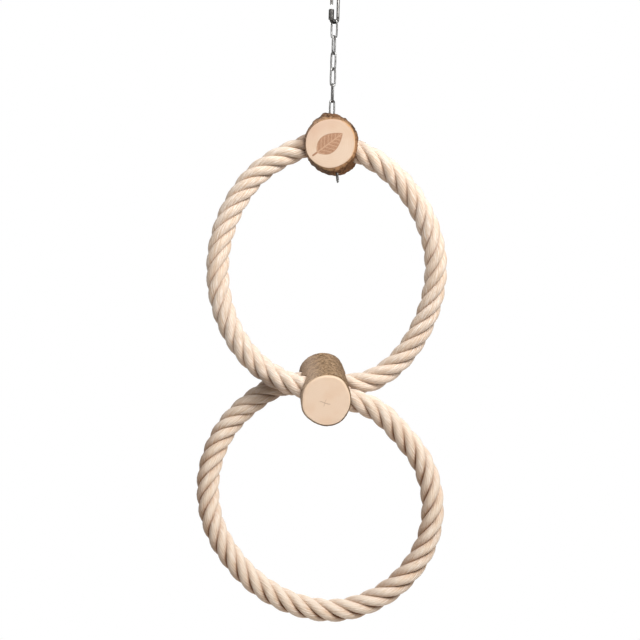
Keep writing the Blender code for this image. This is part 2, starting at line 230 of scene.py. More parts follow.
def forget(tree, shape, names):  # drops the values that only the tree needs
    return tree.make("GeometryNodeRemoveAttribute", {"pattern_mode": "WILDCARD"},
                     {"Geometry": shape, "Name": names})


def move(tree, shape, how, spot):  # how is Position or Offset
    return tree.make("GeometryNodeSetPosition", None, {"Geometry": shape, how: spot})


def circle(tree, points, radius):
    return tree.make("GeometryNodeCurvePrimitiveCircle", None, {"Resolution": points, "Radius": radius})


def sweep(tree, line, ring, more):  # a skin round a line
    return tree.make("GeometryNodeCurveToMesh", None, {"Curve": line, "Profile Curve": ring, **more})


def addPiece(name, mesh):
    piece = bpy.data.objects.new(name, mesh)
    bpy.context.scene.collection.objects.link(piece)
    return piece


def plainMesh(piece):  # what the modifiers make of a piece, on a new object
    graph = bpy.context.evaluated_depsgraph_get()
    mesh = bpy.data.meshes.new_from_object(
        piece.evaluated_get(graph), preserve_all_data_layers=True, depsgraph=graph)
    name = piece.name
    bpy.data.objects.remove(piece)
    return addPiece(name, mesh)


def runShape(name, base, group, sizes):
    maker = addPiece(name, base)
    modifier = maker.modifiers.new("shape", "NODES")
    modifier.node_group = group
    for item in group.interface.items_tree:
        if item.in_out == "INPUT" and item.name in sizes:
            modifier[item.identifier] = sizes[item.name]
    return plainMesh(maker)


def polyline(name, points, marks):  # a line of vertices, each with its own named values
    mesh = bpy.data.meshes.new(name)
    mesh.from_pydata(points, [(i, i + 1) for i in range(len(points) - 1)], [])
    for label, values in marks.items():
        mesh.attributes.new(label, "FLOAT", "POINT").data.foreach_set("value", values)
    return mesh


# camera, light and floor

view = {"place": (-0.0067, -1.8, -0.3573), "roll": 1.6, "lens": 92.25}
studio = {
    "fill": 0.12, "fillTone": (1, 0.985, 0.97, 1), "aim": (0, 0, -0.4), "lampSize": 0.45,
    "lamps": {  # place and power
        "highRight": ((0.448, -0.961, 0.711), 14.8), "sideRight": ((1.24, -0.84, 0.8), 15.6),
        "highLeft": ((-0.919, -0.53, 0.711), 5.0), "front": ((0.2, -1.38, 0.163), 4.0),
        "back": ((0.0, 1.467, -0.04), 12.0),
    },
}
floor = {
    "height": -1.1, "reach": 1.9, "sides": 96, "tone": (0.9, 0.9, 0.89, 1), "roughness": 0.7,
    "glow": (0.88, 0.88, 0.87, 1), "glowShare": 0.8,  # for the camera alone, so it lights nothing
}


def makeView():
    lens = bpy.data.cameras.new("view")
    lens.lens = view["lens"]
    camera = addPiece("view", lens)
    roll = math.radians(view["roll"])
    turn = Matrix(((math.cos(roll), -math.sin(roll), 0), (0, 0, -1), (math.sin(roll), math.cos(roll), 0)))
    camera.matrix_world = Matrix.Translation(view["place"]) @ turn.to_4x4()
    bpy.context.scene.camera = camera
    bpy.context.scene.view_settings.view_transform = "Standard"


def makeStudio():
    world = bpy.data.worlds.new("studio")
    bpy.context.scene.world = world
    world.use_nodes = True
    world.node_tree.nodes.clear()
    tree = Tree(world.node_tree)
    fill = tree.make("ShaderNodeBackground", None, {"Color": studio["fillTone"], "Strength": studio["fill"]})
    white = tree.make("ShaderNodeBackground", None, {"Color": (1, 1, 1, 1), "Strength": 1.0})
    both = tree.make("ShaderNodeMixShader", None, {0: tree.seen(), 1: fill, 2: white})
    tree.make("ShaderNodeOutputWorld", None, {"Surface": both})
    for name, (place, power) in studio["lamps"].items():
        light = bpy.data.lights.new(name, "AREA")
        light.size, light.energy = studio["lampSize"], power
        lamp = addPiece(name, light)
        aim = Vector(studio["aim"]) - Vector(place)
        lamp.matrix_world = Matrix.Translation(place) @ aim.to_track_quat("-Z", "Y").to_matrix().to_4x4()


def makeFloor():
    material, tree = newFinish("paleFloor")
    matt = tree.make("ShaderNodeBsdfPrincipled", None, {
        "Base Color": floor["tone"], "Roughness": floor["roughness"]})
    pale = tree.make("ShaderNodeEmission", None, {"Color": floor["glow"]})
    both = tree.make("ShaderNodeMixShader", None, {0: tree.seen() * floor["glowShare"], 1: matt, 2: pale})
    tree.make("ShaderNodeOutputMaterial", None, {"Surface": both})
    mesh = bpy.data.meshes.new("floor")
    mesh.from_pydata([(floor["reach"] * math.cos(turn), floor["reach"] * math.sin(turn), floor["height"])
                      for turn in fullRound(floor["sides"])], [], [range(floor["sides"])])
    mesh.materials.append(material)
    addPiece("floor", mesh)


makeView()
makeStudio()
makeFloor()
print("camera and studio ready")


# rope: four strands laid right-handed along its route

sliceCentre = Vector((0, 0, -164.8)) * mm
chainLine = {"hinge": -135.6, "lean": -7}  # height of the swing's hinge, and the lean of the links below it
rope = {
    "diameter": 25.4, "step": 3.4, "curveSteps": 24, "startAngle": 15.5,
    # millimetres along the rope from strand to strand, at metres from the left socket
    "strandGap": ((0.0, 20.07), (0.1, 19.21), (0.2, 18.38), (0.3, 17.86), (0.42, 18.81), (0.55, 20.88),
                  (0.65, 20.33), (0.75, 19.51), (0.85, 19.55), (0.95, 17.71), (1.05, 17.54), (1.13, 19.22),
                  (1.2, 20.47), (1.3, 19.74), (1.4, 18.89), (1.54, 19.12)),
    # stops from the middle of the slice, in millimetres
    "leftEnd": (-11.88, 0.0, 4.71), "leftMouth": (-29.3, 0.0, -3.05),
    "rightEnd": (17.54, 0.0, -1.21), "rightMouth": (31.0, 0.0, -7.2),
    "frontBore": ((-27.75, -18.41, -265.02), (29.94, -9.37, -278.82)),
    "rearBore": ((-31.0, 11.54, -262.87), (28.81, 16.24, -262.87)),
    "upperLeft": ((-53.6, -1.0, -14.8), (-83.2, -3.0, -37.7), (-105.0, -5.9, -71.4), (-118.3, -9.9, -114.7),
                  (-117.3, -14.1, -164.2), (-100.0, -17.0, -210.6), (-68.9, -20.0, -245.8)),
    "lower": ((58.0, -5.9, -289.7), (86.0, -4.0, -315.2), (110.9, -2.0, -347.8), (122.5, 0.0, -392.2),
              (117.1, 1.0, -433.0), (96.1, 1.0, -469.2), (62.2, 1.0, -497.2), (20.0, 0.0, -510.5),
              (-22.0, 0.0, -505.9), (-61.7, 0.0, -487.6), (-96.3, 0.0, -455.4), (-118.3, 1.0, -417.2),
              (-124.5, 3.0, -369.7), (-110.7, 5.9, -321.8), (-77.6, 8.9, -283.6), (-52.1, 9.9, -267.2)),
    "upperRight": ((50.4, 17.0, -258.1), (78.5, 18.0, -238.7), (102.0, 16.1, -205.5), (116.8, 12.1, -163.2),
                   (118.1, 7.9, -116.8), (105.0, 4.9, -76.5), (81.0, 2.0, -41.8), (52.6, 0.0, -17.9)),
    "shape": {
        "Strands": 4, "Helix Radius": 7.5 * mm, "Strand Height": 5.2 * mm, "Strand Width": 5.25 * mm,
        "Strand Squareness": 2.1, "Unevenness": 0.12,
        "Yarns": 12, "Points Around": 48, "Yarn Depth": 0.07, "Yarn Wander": 2.4, "Yarn Turns": 2.3,
    },
    "fibreRadius": 5.2, "strandApart": 40.0,  # millimetres in the yarns' own pattern
    "lowerRingShade": (-400, -520),  # heights between which the painted shade on the lower ring comes in
    # millimetres along the rope from a place on it, between which a painted shade or painted light comes in
    # or goes
    "mouthShadeStart": (31, 19), "mouthShadeEnd": (-24, -14),
    "crossingShadeRear": ((-64, -34), (6, -2)), "crossingShadeFront": ((-62, -42), (-14, -26)), "paintedLightRearSpan": ((80, 36), (-8, 0)),
    # from yarnLow on, the tones are painted shade and painted light
    "tones": {
        "hairDark": tone(205, 176, 146), "hairPale": tone(252, 242, 232),
        "yarn": tone(212, 184, 156), "blotch": tone(236, 210, 184), "yarnLow": tone(178, 136, 100),
        "lower": tone(206, 162, 118), "lowerCrestHighlight": tone(250, 235, 216), "paintedTopLight": tone(252, 240, 226),
        "undersideShade": tone(156, 112, 78), "leftSideShade": tone(146, 102, 70), "mouthShade": tone(128, 90, 62),
        "crossingShade": tone(92, 62, 42), "paintedLightRear": tone(246, 226, 206),
        "grooveShade": (tone(176, 132, 94), tone(122, 78, 46)),  # painted shade in the grooves between strands, on top and underneath
    },
}


def smoothRun(stops, wayOut, wayIn):  # a curve through the stops, with set ends
    steps = rope["curveSteps"]
    runs = [b - a for a, b in zip(stops, stops[1:])]
    ways = [wayOut]
    for before, after in zip(runs, runs[1:]):
        near, far = before.length, after.length
        ways.append((before / near * far + after / far * near) / (near + far))
    ways.append(wayIn)
    points = [stops[0]]
    for i, run in enumerate(runs):
        for step in range(1, steps + 1):
            points.append(eased(step / steps, stops[i], ways[i] * run.length,
                                stops[i + 1], ways[i + 1] * run.length))
    return points


def fromSlice(point):
    return sliceCentre + Vector(point) * mm


def ropeRoute():
    leftEnd, leftMouth, rightEnd, rightMouth = (
        fromSlice(rope[name]) for name in ("leftEnd", "leftMouth", "rightEnd", "rightMouth"))
    frontIn, frontOut = map(fromSlice, rope["frontBore"])
    rearIn, rearOut = map(fromSlice, rope["rearBore"])
    frontWay = (frontOut - frontIn).normalized()
    rearWay = (rearOut - rearIn).normalized()
    points = [leftEnd]
    for start, wayOut, name, end, wayIn in (
            (leftMouth, (leftMouth - leftEnd).normalized(), "upperLeft", frontIn, frontWay),
            (frontOut, frontWay, "lower", rearIn, rearWay),
            (rearOut, rearWay, "upperRight", rightMouth, (rightEnd - rightMouth).normalized())):
        points += smoothRun([start, *map(fromSlice, rope[name]), end], wayOut, wayIn)
    points.append(rightEnd)
    return evenPoints(points, rope["step"] * mm)


def evenPoints(points, step):
    marks = [0.0]
    for a, b in zip(points, points[1:]):
        marks.append(marks[-1] + (b - a).length)
    count = round(marks[-1] / step)
    even, i = [], 0
    for k in range(count + 1):
        goal = marks[-1] * k / count
        while i < len(marks) - 2 and marks[i + 1] < goal:
            i += 1
        even.append(points[i].lerp(points[i + 1], (goal - marks[i]) / (marks[i + 1] - marks[i])))
    return even, marks[-1]


def between(table, at):  # straight-line reading of a short table
    for (a, first), (b, second) in zip(table, table[1:]):
        if at <= b:
            return first + (second - first) * (at - a) / (b - a)
    return table[-1][1]


def ropeTree(material):
    tree, size = startShape("ropeStrands", rope["shape"])
    line = tree.make("GeometryNodeMeshToCurve", None, {"Mesh": size["Geometry"]})
    strands = tree.make("GeometryNodeDuplicateElements", {"domain": "SPLINE"}, {
        "Geometry": line, "Amount": size["Strands"]})
    angle = kept(tree, "layAngle") + strands.other("Duplicate Index") * fullTurn / size["Strands"]
    along = tree.make("GeometryNodeInputTangent")
    place = tree.make("GeometryNodeInputPosition")
    toFront = (0.0, -1.0, 0.0)
    front = tree.vectors("NORMALIZE", tree.vectors("PROJECT", toFront, along) * -1 + toFront)
    side = tree.vectors("CROSS_PRODUCT", along, front)
    sine, cosine = tree.waves(angle)
    outward = front * cosine + side * sine
    onward = along + (side * cosine - front * sine) * (kept(tree, "layRate") * size["Helix Radius"])
    across = tree.vectors("CROSS_PRODUCT", tree.vectors("NORMALIZE", onward), outward)
    number = strands.other("Duplicate Index")
    strands = keep(tree, strands, {
        "strandAxis": place, "strandOut": outward, "strandAcross": across, "strandAngle": angle,
        "strandRun": tree.make("GeometryNodeSplineParameter", out="Length"), "strandNumber": number})

    ring = circle(tree, size["Points Around"], mm)
    ring = keep(tree, ring, {"strandRound": tree.make("GeometryNodeSplineParameter")})
    skin = sweep(tree, strands, ring, {"Fill Caps": True})
    around = kept(tree, "strandRound")
    yarnTurn = around * fullTurn
    sine, cosine = tree.waves(yarnTurn)
    apart = kept(tree, "strandNumber") * rope["strandApart"]
    fibre = tree.vector(cosine * rope["fibreRadius"] + apart, sine * rope["fibreRadius"],
                        kept(tree, "strandRun") * (1 / mm))
    wander = (tree.grain(fibre * (1.0, 1.0, 0.2), 0.13, 1.0) - 0.5) * size["Yarn Wander"]
    lobe = abs(tree.maths("SINE", around * size["Yarns"] * math.pi + wander)) ** 0.7
    depth = size["Yarn Depth"] * (tree.grain(fibre * (1.0, 1.0, 0.15), 0.3, 1.0) * 2.4 - 0.2)
    rough = tree.grain(fibre * (1.0, 1.0, 0.4), 0.11, 2.0) - 0.5
    reach = 1 - depth * (1 - lobe) + rough * size["Unevenness"]
    turn = yarnTurn - kept(tree, "strandAngle") * size["Yarn Turns"]
    sine, cosine = tree.waves(turn)
    power = size["Strand Squareness"]
    high = abs(cosine / size["Strand Height"]) ** power
    wide = abs(sine / size["Strand Width"]) ** power
    reach = reach * (high + wide) ** (-1 / power)
    outward, across = kept(tree, "strandOut", "FLOAT_VECTOR"), kept(tree, "strandAcross", "FLOAT_VECTOR")
    axis = kept(tree, "strandAxis", "FLOAT_VECTOR")
    spot = axis + outward * (size["Helix Radius"] + reach * cosine) + across * (reach * sine)
    skin = move(tree, skin, "Position", spot)
    away = place - axis
    rise = tree.vectors("LENGTH", away, out="Value")
    side, _, up = tree.split(away)
    skin = keep(tree, skin, {
        "ropeUnder": up / rise * -1,  # 1 where it faces down
        "ropeLeft": side / rise * -1,  # 1 where it faces left
        "ropeRise": rise * (2 / (rope["diameter"] * mm)),
        "yarnLow": 1 - lobe, "ropeFibre": fibre})
    skin = forget(tree, skin, "strand*")
    return endShape(tree, skin, material)


def ropeFinish(length, frontIn, rearIn, rearOut):
    material, tree = newFinish("ropeCotton")
    fibre = tree.mark("ropeFibre", "Vector")
    low, rise, under, left = (tree.mark(name) for name in ("yarnLow", "ropeRise", "ropeUnder", "ropeLeft"))
    _, _, run = tree.split(fibre)
    _, _, z = tree.split(tree.local(Matrix.Identity(4)))

    def near(place, window):  # comes in between two places along the rope
        first, last = window
        return tree.ramp(run, place + first, place + last)

    # painted shade near the slice's mouths, mostly at the left
    ends = near(0, rope["mouthShadeStart"]) + near(length, rope["mouthShadeEnd"]) * 0.3
    beneath, facing, paintedLightRear = (near(place, opens) * near(place, closes) for place, (opens, closes) in (
        (rearIn, rope["crossingShadeRear"]), (frontIn, rope["crossingShadeFront"]), (rearOut, rope["paintedLightRearSpan"])))
    # painted shade under the crossing of the two runs
    crossingShade = beneath * 0.5 + facing * tree.ramp(under, 0.1, 0.7) * 0.5
    shade = tree.ramp(under, -0.45, 0.8)
    lower = tree.ramp(z, *rope["lowerRingShade"])
    # painted shade in the grooves, deeper underneath and on the lower ring
    grooveShadeShare = (1 - tree.ramp(rise, 0.66, 0.92)) * (lower * 0.5 + 0.42) * (shade * 1.25 + 0.24)
    strokes = fibre * (1.0, 1.0, 0.07)
    hairs = tree.grain(strokes, 2.2, 4.0, 0.65)
    yarn = tree.grain(fibre * (1.0, 1.0, 0.04), 0.5, 1.0)
    blotch = tree.grain(fibre, 0.05, 2.0)
    tones = rope["tones"]
    colour = tree.coats(
        tones["hairDark"], (tree.ramp(hairs, 0.36, 0.64), tones["hairPale"]),
        (tree.ramp(yarn, 0.42, 0.64) * 0.55, tones["yarn"]),
        (tree.ramp(blotch, 0.45, 0.75) * 0.3, tones["blotch"]),
        # painted shade between the yarns, deeper underneath
        (low * (shade * 0.4 + 0.12), tones["yarnLow"]),
        (lower * 0.14, tones["lower"]),  # painted shade: the lower ring a little darker
        # painted highlight on the strand crests of the lower ring
        (tree.ramp(rise, 0.9, 1.02) * lower * 0.45, tones["lowerCrestHighlight"]),
        # painted light on the sides that face up
        (tree.ramp(under, 0.0, -0.8) * 0.3, tones["paintedTopLight"]),
        # painted shade on the sides that face down
        (tree.ramp(under, 0.35, 0.95) * 0.3, tones["undersideShade"]),
        # painted shade on the sides that face left, more on the lower ring
        (tree.ramp(left, 0.05, 0.9) * (lower * 0.42 + 0.04), tones["leftSideShade"]),
        (grooveShadeShare, tree.blend(shade, *tones["grooveShade"])),
        (ends * 0.6, tones["mouthShade"]),  # painted shade where it goes into the slice
        (crossingShade, tones["crossingShade"]),  # painted shade where the front run lies over the rear run at the left of the barrel
        # painted light on the underside of the run leaving the barrel at the right
        (paintedLightRear * shade * 0.5, tones["paintedLightRear"]))
    height = hairs * 0.5 + tree.grain(strokes, 7.0, 2.0) * 0.25 - low * 0.3
    paint(tree, {"Base Color": colour, "Roughness": 0.86 - hairs * 0.12, "Specular IOR Level": 0.25,
                 "Sheen Weight": 0.2, "Sheen Roughness": 0.5, "Normal": tree.bump(height, 0.4 * mm, 0.6)})
    return material


def makeRope():
    points, length = ropeRoute()
    gap = length / (len(points) - 1)

    def along(place):  # how far down the rope a place of its route is, in millimetres
        return min(range(len(points)), key=lambda i: (points[i] - fromSlice(place)).length) * gap / mm

    finish = ropeFinish(length / mm, along(rope["frontBore"][0]), *map(along, rope["rearBore"]))
    angle, angles, rates = math.radians(rope["startAngle"]), [], []
    for i in range(len(points)):
        rate = fullTurn / rope["shape"]["Strands"] / (between(rope["strandGap"], i * gap) * mm)
        rates.append(rate)
        angles.append(angle)
        angle += rate * gap
    base = polyline("ropeLine", points, {"layAngle": angles, "layRate": rates})
    piece = runShape("ropeStrands", base, ropeTree(finish), rope["shape"])
    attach(piece, "swing")
    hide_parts("rope")
    rope["diameter"] * mm
    print("rope laid:", round(length, 3), "m,", len(piece.data.polygons), "faces")


makeRope()


# branch wood: a sawn length about its own Y axis, its front face at -Y, sizes in millimetres

topSlice = {
    "place": Matrix.Translation(sliceCentre) @ turned(-4, "Z"),
    "depth": 42.0, "around": 240, "rows": 44, "ease": (0.4,) * 12,
    # radii every 30 degrees, from the right over the top, as seen from the front
    "face": (27.5, 28.5, 27.3, 25.5, 25.4, 25.9, 26.1, 26.9, 26.9, 27.4, 27.2, 28.0),
    "barkFront": (29.7, 31.0, 30.8, 32.9, 30.5, 28.1, 27.5, 28.4, 29.0, 30.0, 29.7, 29.8),
    "barkRear": (29.5, 31.3, 30.8, 32.9, 30.5, 28.3, 27.5, 29.6, 30.1, 32.1, 33.7, 32.9),
    "fresh": (0.8, 3.6),  # depths between which the cut bark stays pale
    "swellIn": (1.0, 0.6),  # depth in which the bark rises, and more of it for each millimetre that it rises
    "relief": 0.95, "reliefSize": (4.4, 8.0, 4.4),
    "lumps": ((103, 1.7, 6), (59, 1.5, 3.5), (20.5, 1.4, 3.5), (285, 0.8, 6)),  # degrees, height, half width
    "paleLeft": 0.14, "warmLow": 0.5,  # shares of a paler and of a warmer tone
    "darkRight": (0.5, 15, 28),  # share of the darkest tone, and from where to where it comes in
    "faceTones": (tone(219, 194, 171), tone(213, 184, 158), tone(196, 159, 128)), "ringShare": 0.1,
    "rimTone": tone(205, 150, 90), "rimFrom": (27.0, 29.6),
    "topTone": tone(204, 168, 144), "topFrom": (4.0, 26.0),
    "barkTones": (tone(56, 37, 24), tone(114, 79, 52), tone(182, 148, 117), tone(190, 150, 112)),
    "barkGrain": (1.0, 0.55, 1.3),  # scale, stretch along the branch, depth of the bump
}
perchBarrel = {
    "place": Matrix.Translation((0, 0, -432.2 * mm)) @ turned(4.5, "Z") @ turned(18, "X"),
    "depth": 75.0, "around": 240, "rows": 84,
    "ease": (1.6, 2.0, 2.3, 2.3, 2.0, 1.4, 0.7, 0.5, 0.4, 0.4, 0.5, 1.0),
    "face": (25.9, 26.2, 28.5, 28.5, 28.1, 27.5, 26.0, 27.2, 27.0, 28.3, 28.3, 26.5),
    "barkFront": (27.1, 27.4, 29.7, 29.7, 29.3, 28.7, 27.2, 28.8, 28.7, 30.0, 30.0, 27.9),
    "barkRear": (26.1, 26.4, 28.7, 28.7, 28.3, 27.7, 26.2, 27.8, 27.7, 29.0, 29.0, 26.9),
    "fresh": (1.0, 4.0), "swellIn": (0.7, 0.0), "relief": 0.28, "reliefSize": (2.6, 4.0, 2.6), "lumps": (),
    "paleLeft": 0.36, "warmLow": 0.0, "darkRight": (0.42, 2, 22),
    "faceTones": (tone(251, 222, 195), tone(247, 214, 184), tone(216, 176, 140)), "ringShare": 0.04,
    "pith": (-1.7, -2.8), "pithTone": tone(180, 140, 108),
    "rimTones": (tone(232, 204, 176), tone(184, 156, 124)),  # pale edge, and the dull band behind it
    "rimDepths": ((-37.45, -36.9), (-36.9, -35.7)), "rimEnd": (-28, -32),
    "barkTones": (tone(104, 80, 56), tone(169, 139, 107), tone(204, 179, 149), tone(112, 84, 58)),
    "barkGrain": (1.9, 0.9, 0.6),
}
bark = {
    "rearEase": 1.6, "rearDrop": 1.2, "reliefIn": 1.5, "lumpDepth": 3, "lumpReach": 4,
    "fractal": (0.9, 2.1, 5), "waves": 0.5, "waveScale": 0.4,
    "pale": tone(226, 200, 180), "warm": tone(158, 108, 68),
    # millimetres across the branch between which a tone comes in
    "paleFrom": (-2, -20), "warmFrom": (18, 38), "darkFrom": (-14, 4), "freshFrom": (-26, -6),
    "freshLow": (12, 34), "freshWider": 2.5,
}
sawn = {  # rings of points on the sawn faces, as shares of the radius, and the rows of points on the bark
    "front": (0.2, 0.45, 0.7, 0.88), "rear": (1.0, 0.93, 0.7, 0.45, 0.2), "rearBark": 0.93,
    "bendStep": 15, "rowPower": 1.25, "lastRow": 0.1, "rearEdge": 0.4,
}


def grown(table, angle):  # smooth reading of a table that goes once round
    count = len(table)
    at = angle / fullTurn * count
    i = math.floor(at)
    before, here, after, beyond = (table[(i + k) % count] for k in (-1, 0, 1, 2))
    return eased(at - i, here, (after - before) / 2, after, (beyond - here) / 2)


def barkRadius(wood, angle, depth):
    face, front, rear = (grown(wood[name], angle) for name in ("face", "barkFront", "barkRear"))
    start, slope = wood["swellIn"]
    risen = (depth - grown(wood["ease"], angle)) / (start + slope * (front - face))
    rise = math.sin(math.pi / 2 * min(1, risen))
    radius = face + (front - face) * rise + (rear - front) * depth / wood["depth"]
    ending = max(0, 1 - (wood["depth"] - depth) / bark["rearEase"])
    x, y, z = wood["reliefSize"]
    spot = Vector((radius * math.cos(angle) / x, depth / y, radius * math.sin(angle) / z))
    rough = noise.fractal(spot, *bark["fractal"]) + bark["waves"] * noise.noise(spot * bark["waveScale"])
    radius += wood["relief"] * rough * min(1, depth / bark["reliefIn"]) * (1 - ending)
    for at, height, width in wood["lumps"]:
        away = (math.degrees(angle) - at + 180) % 360 - 180
        beyond = (depth - bark["lumpDepth"]) / bark["lumpReach"]
        radius += height * math.exp(-(away / width) ** 2 - beyond**2)
    return radius - bark["rearDrop"] * ending**2


def branchMesh(name, wood):
    half = wood["depth"] / 2
    turns = fullRound(wood["around"])
    faces = [grown(wood["face"], turn) for turn in turns]
    eases = [grown(wood["ease"], turn) for turn in turns]

    def ring(depths, radii):
        return [Vector((radius * math.cos(turn), depth - half, radius * math.sin(turn)))
                for turn, depth, radius in zip(turns, depths, radii)]

    rings = [ring([0] * len(turns), [face * share for face in faces]) for share in sawn["front"]]
    for bend in range(0, 91, sawn["bendStep"]):  # the eased edge of the sawn face
        sink, drop = 1 - math.cos(math.radians(bend)), 1 - math.sin(math.radians(bend))
        radii = [face - ease * drop for face, ease in zip(faces, eases)]
        rings.append(ring([ease * sink for ease in eases], radii))
    slots = [0] * (len(rings) - 1)
    for row in range(1, wood["rows"] + 1):
        share = (row / wood["rows"]) ** sawn["rowPower"]
        depths = [ease + (wood["depth"] - ease - sawn["lastRow"]) * share for ease in eases]
        rings.append(ring(depths, [barkRadius(wood, turn, depth) for turn, depth in zip(turns, depths)]))
        slots.append(1)
    ends = [barkRadius(wood, turn, wood["depth"]) - sawn["rearEdge"] for turn in turns]
    for share in sawn["rear"]:
        rings.append(ring([wood["depth"]] * len(turns), [end * share for end in ends]))
        slots.append(0 if share < sawn["rearBark"] else 1)
    return closedSkin(name, rings, slots, wood["place"])


def closedSkin(name, rings, slots, place):  # quads between the rings, a fan at each end
    bm = bmesh.new()
    loops = [[bm.verts.new(point * mm) for point in ring] for ring in rings]
    count = len(loops[0])
    for low, high, slot in zip(loops, loops[1:], slots):
        for i in range(count):
            bm.faces.new((low[i], low[i - 1], high[i - 1], high[i])).material_index = slot
    for loop in (loops[0], loops[-1]):
        pole = bm.verts.new(sum((vert.co for vert in loop), Vector()) / count)
        for i in range(count):
            bm.faces.new((loop[i], loop[i - 1], pole))
    return meshFrom(name, bm, place)


def meshFrom(name, bm, place):
    bmesh.ops.recalc_face_normals(bm, faces=bm.faces)
    mesh = bpy.data.meshes.new(name)
    bm.to_mesh(mesh)
    bm.free()
    mesh.transform(place)
    return mesh


holes = {  # sizes in millimetres
    "rope": 13.5, "ropePast": 12, "socketFloor": 0.5,
    "chain": 5.5, "flare": 2.2, "flareReach": (-62.2, 3.1), "flarePast": 6.0,
    "pin": (1.75, 36.5), "nail": ((1.35, 26.3), (2.75, 1.2)), "nailPast": 4,  # radius and depth
    "sides": 40, "sharp": 48, "slot": 2, "tones": (tone(120, 84, 56), tone(196, 152, 114)),
}
nails = {  # heads, each in its wood's own frame
    "slice": ((-20.5, 20.8, 0.8), (24.3, 20.8, -4.2)), "pin": (5.8, 20.5, -18.1),
    "barrel": ((0.0, -14.65, -29.5), (0.0, 14.65, -29.1)),
}


def lathe(name, profile, place):  # turned about Z, from pairs of radius and height
    rings = [[Vector((radius * math.cos(turn), radius * math.sin(turn), height))
              for turn in fullRound(holes["sides"])] for radius, height in profile]
    return closedSkin(name, rings, [0] * len(rings), place)


def drill(piece, drilled):
    cutters = []
    for number, (profile, place) in enumerate(drilled):
        mesh = lathe(f"{piece.name}Hole{number}", profile, place)
        for material in piece.data.materials:
            mesh.materials.append(material)
        mesh.polygons.foreach_set("material_index", [holes["slot"]] * len(mesh.polygons))
        cutter = addPiece(mesh.name, mesh)
        cutter.hide_render = True
        modifier = piece.modifiers.new(mesh.name, "BOOLEAN")
        modifier.operation, modifier.solver, modifier.object = "DIFFERENCE", "EXACT", cutter
        cutters.append(cutter)
    piece = plainMesh(piece)
    for cutter in cutters:
        bpy.data.objects.remove(cutter)
    piece.data.shade_smooth()
    piece.data.set_sharp_from_angle(angle=math.radians(holes["sharp"]))
    return piece


def heading(spot, way):  # a place in metres whose Z axis points that way
    return Matrix.Translation(spot) @ Vector(way).to_track_quat("Z", "Y").to_matrix().to_4x4()


def inWood(wood, spot):  # a place in a wood's own frame
    return wood["place"] @ Matrix.Translation(Vector(spot) * mm)


def nailHole():
    (shank, length), (head, seat) = holes["nail"]
    return ((shank, -length), (shank, -seat), (head, -seat), (head, holes["nailPast"]))


def woodFace(name, wood, marks):
    material, tree = newFinish(name)
    light, deep, edge = wood["faceTones"]
    spot = tree.local(wood["place"])
    x, _, z = tree.split(spot)
    wander = tree.grain(spot, 0.06, 2.0)
    rings = tree.maths("SINE", (tree.reach(x, z) + wander * 6) * 2.4) * 0.5 + 0.5
    pores = tree.grain(spot * (1.0, 0.1, 1.0), 1.6, 3.0, 0.6)
    cloud = tree.grain(spot, 0.045, 3.0)
    colour = tree.coats(light, (tree.ramp(cloud, 0.35, 0.7), deep),
                        (rings * wood["ringShare"] + tree.ramp(pores, 0.55, 0.8) * 0.12, edge))
    colour, height = marks(tree, spot, colour, pores * 0.5 + rings * 0.1)
    paint(tree, {"Base Color": colour, "Roughness": 0.5 + pores * 0.2, "Specular IOR Level": 0.35,
                 "Normal": tree.bump(height, 0.12 * mm, 0.5)})
    return material


leaf = {
    "length": 35.0, "halfWidth": 10.6, "tilt": -38, "centre": (0.0, -21.0, -0.2), "vein": 4.8,
    "fullness": 0.85, "wideAtStalk": 1.25, "narrows": 0.55, "slant": 0.8,
    "stalk": (-24.0, -14.0), "burnFrom": (-20.4, -20.7),  # along the leaf, and depths in the slice
    "stalkHalf": (1.3, 0.6), "midribHalf": (0.9, 0.3), "veinHalf": (0.13, 0.05),  # soft half widths
    "burnt": tone(152, 106, 76), "dots": tone(190, 146, 114), "edge": tone(146, 98, 66),
    "veins": tone(202, 164, 134),
}


def sliceMarks(tree, spot, colour, height):  # sapwood edge, and a burnt leaf
    x, y, z = tree.split(spot)
    upperRight = tree.ramp(x * 0.7 + z * 0.7, -6.0, 22.0)
    ragged = tree.grain(spot, 0.25, 2.0) * 2.4
    rim = tree.ramp(tree.reach(x, z) + ragged, *topSlice["rimFrom"])
    colour = tree.coats(colour, (rim * (0.3 + upperRight * 0.6), topSlice["rimTone"]),
                        (tree.ramp(x * -0.6 + z, *topSlice["topFrom"]) * 0.5, topSlice["topTone"]))

    lay = inWood(topSlice, leaf["centre"]) @ turned(leaf["tilt"], "Y")
    along, _, across = tree.split(tree.local(lay))
    width = abs(across)
    share = along / leaf["length"] + 0.5
    arch = tree.maths("MAXIMUM", share * (1 - share) * 4, 0.0) ** leaf["fullness"]
    inside = arch * (leaf["wideAtStalk"] - share * leaf["narrows"]) * leaf["halfWidth"] - width
    start, end = leaf["stalk"]
    stalk = tree.ramp(along, start, start + 1) * tree.ramp(along, end, end - 1)
    stalk = stalk * tree.ramp(width, *leaf["stalkHalf"])
    burn = tree.maths("MAXIMUM", tree.ramp(inside, -0.1, 0.7), stalk) * tree.ramp(y, *leaf["burnFrom"])
    midrib = tree.ramp(width, *leaf["midribHalf"])
    slant = tree.maths("FRACT", (along - width * leaf["slant"]) / leaf["vein"] + 20)
    sideVein = tree.ramp(abs(slant - 0.5), *leaf["veinHalf"])
    veins = tree.maths("MAXIMUM", midrib, sideVein) * tree.ramp(inside, 0.3, 1.6)
    dots = tree.ramp(tree.cells(spot * (1.0, 0.0, 1.0), 1.1), 0.25, 0.65)
    scorch = tree.coats(leaf["burnt"], (dots * 0.55, leaf["dots"]),
                        (tree.ramp(inside, 1.6, 0.0) * 0.5, leaf["edge"]), (veins * 0.7, leaf["veins"]))
    return tree.blend(burn * 0.92, colour, scorch), height - burn * (0.8 + dots * 0.5)


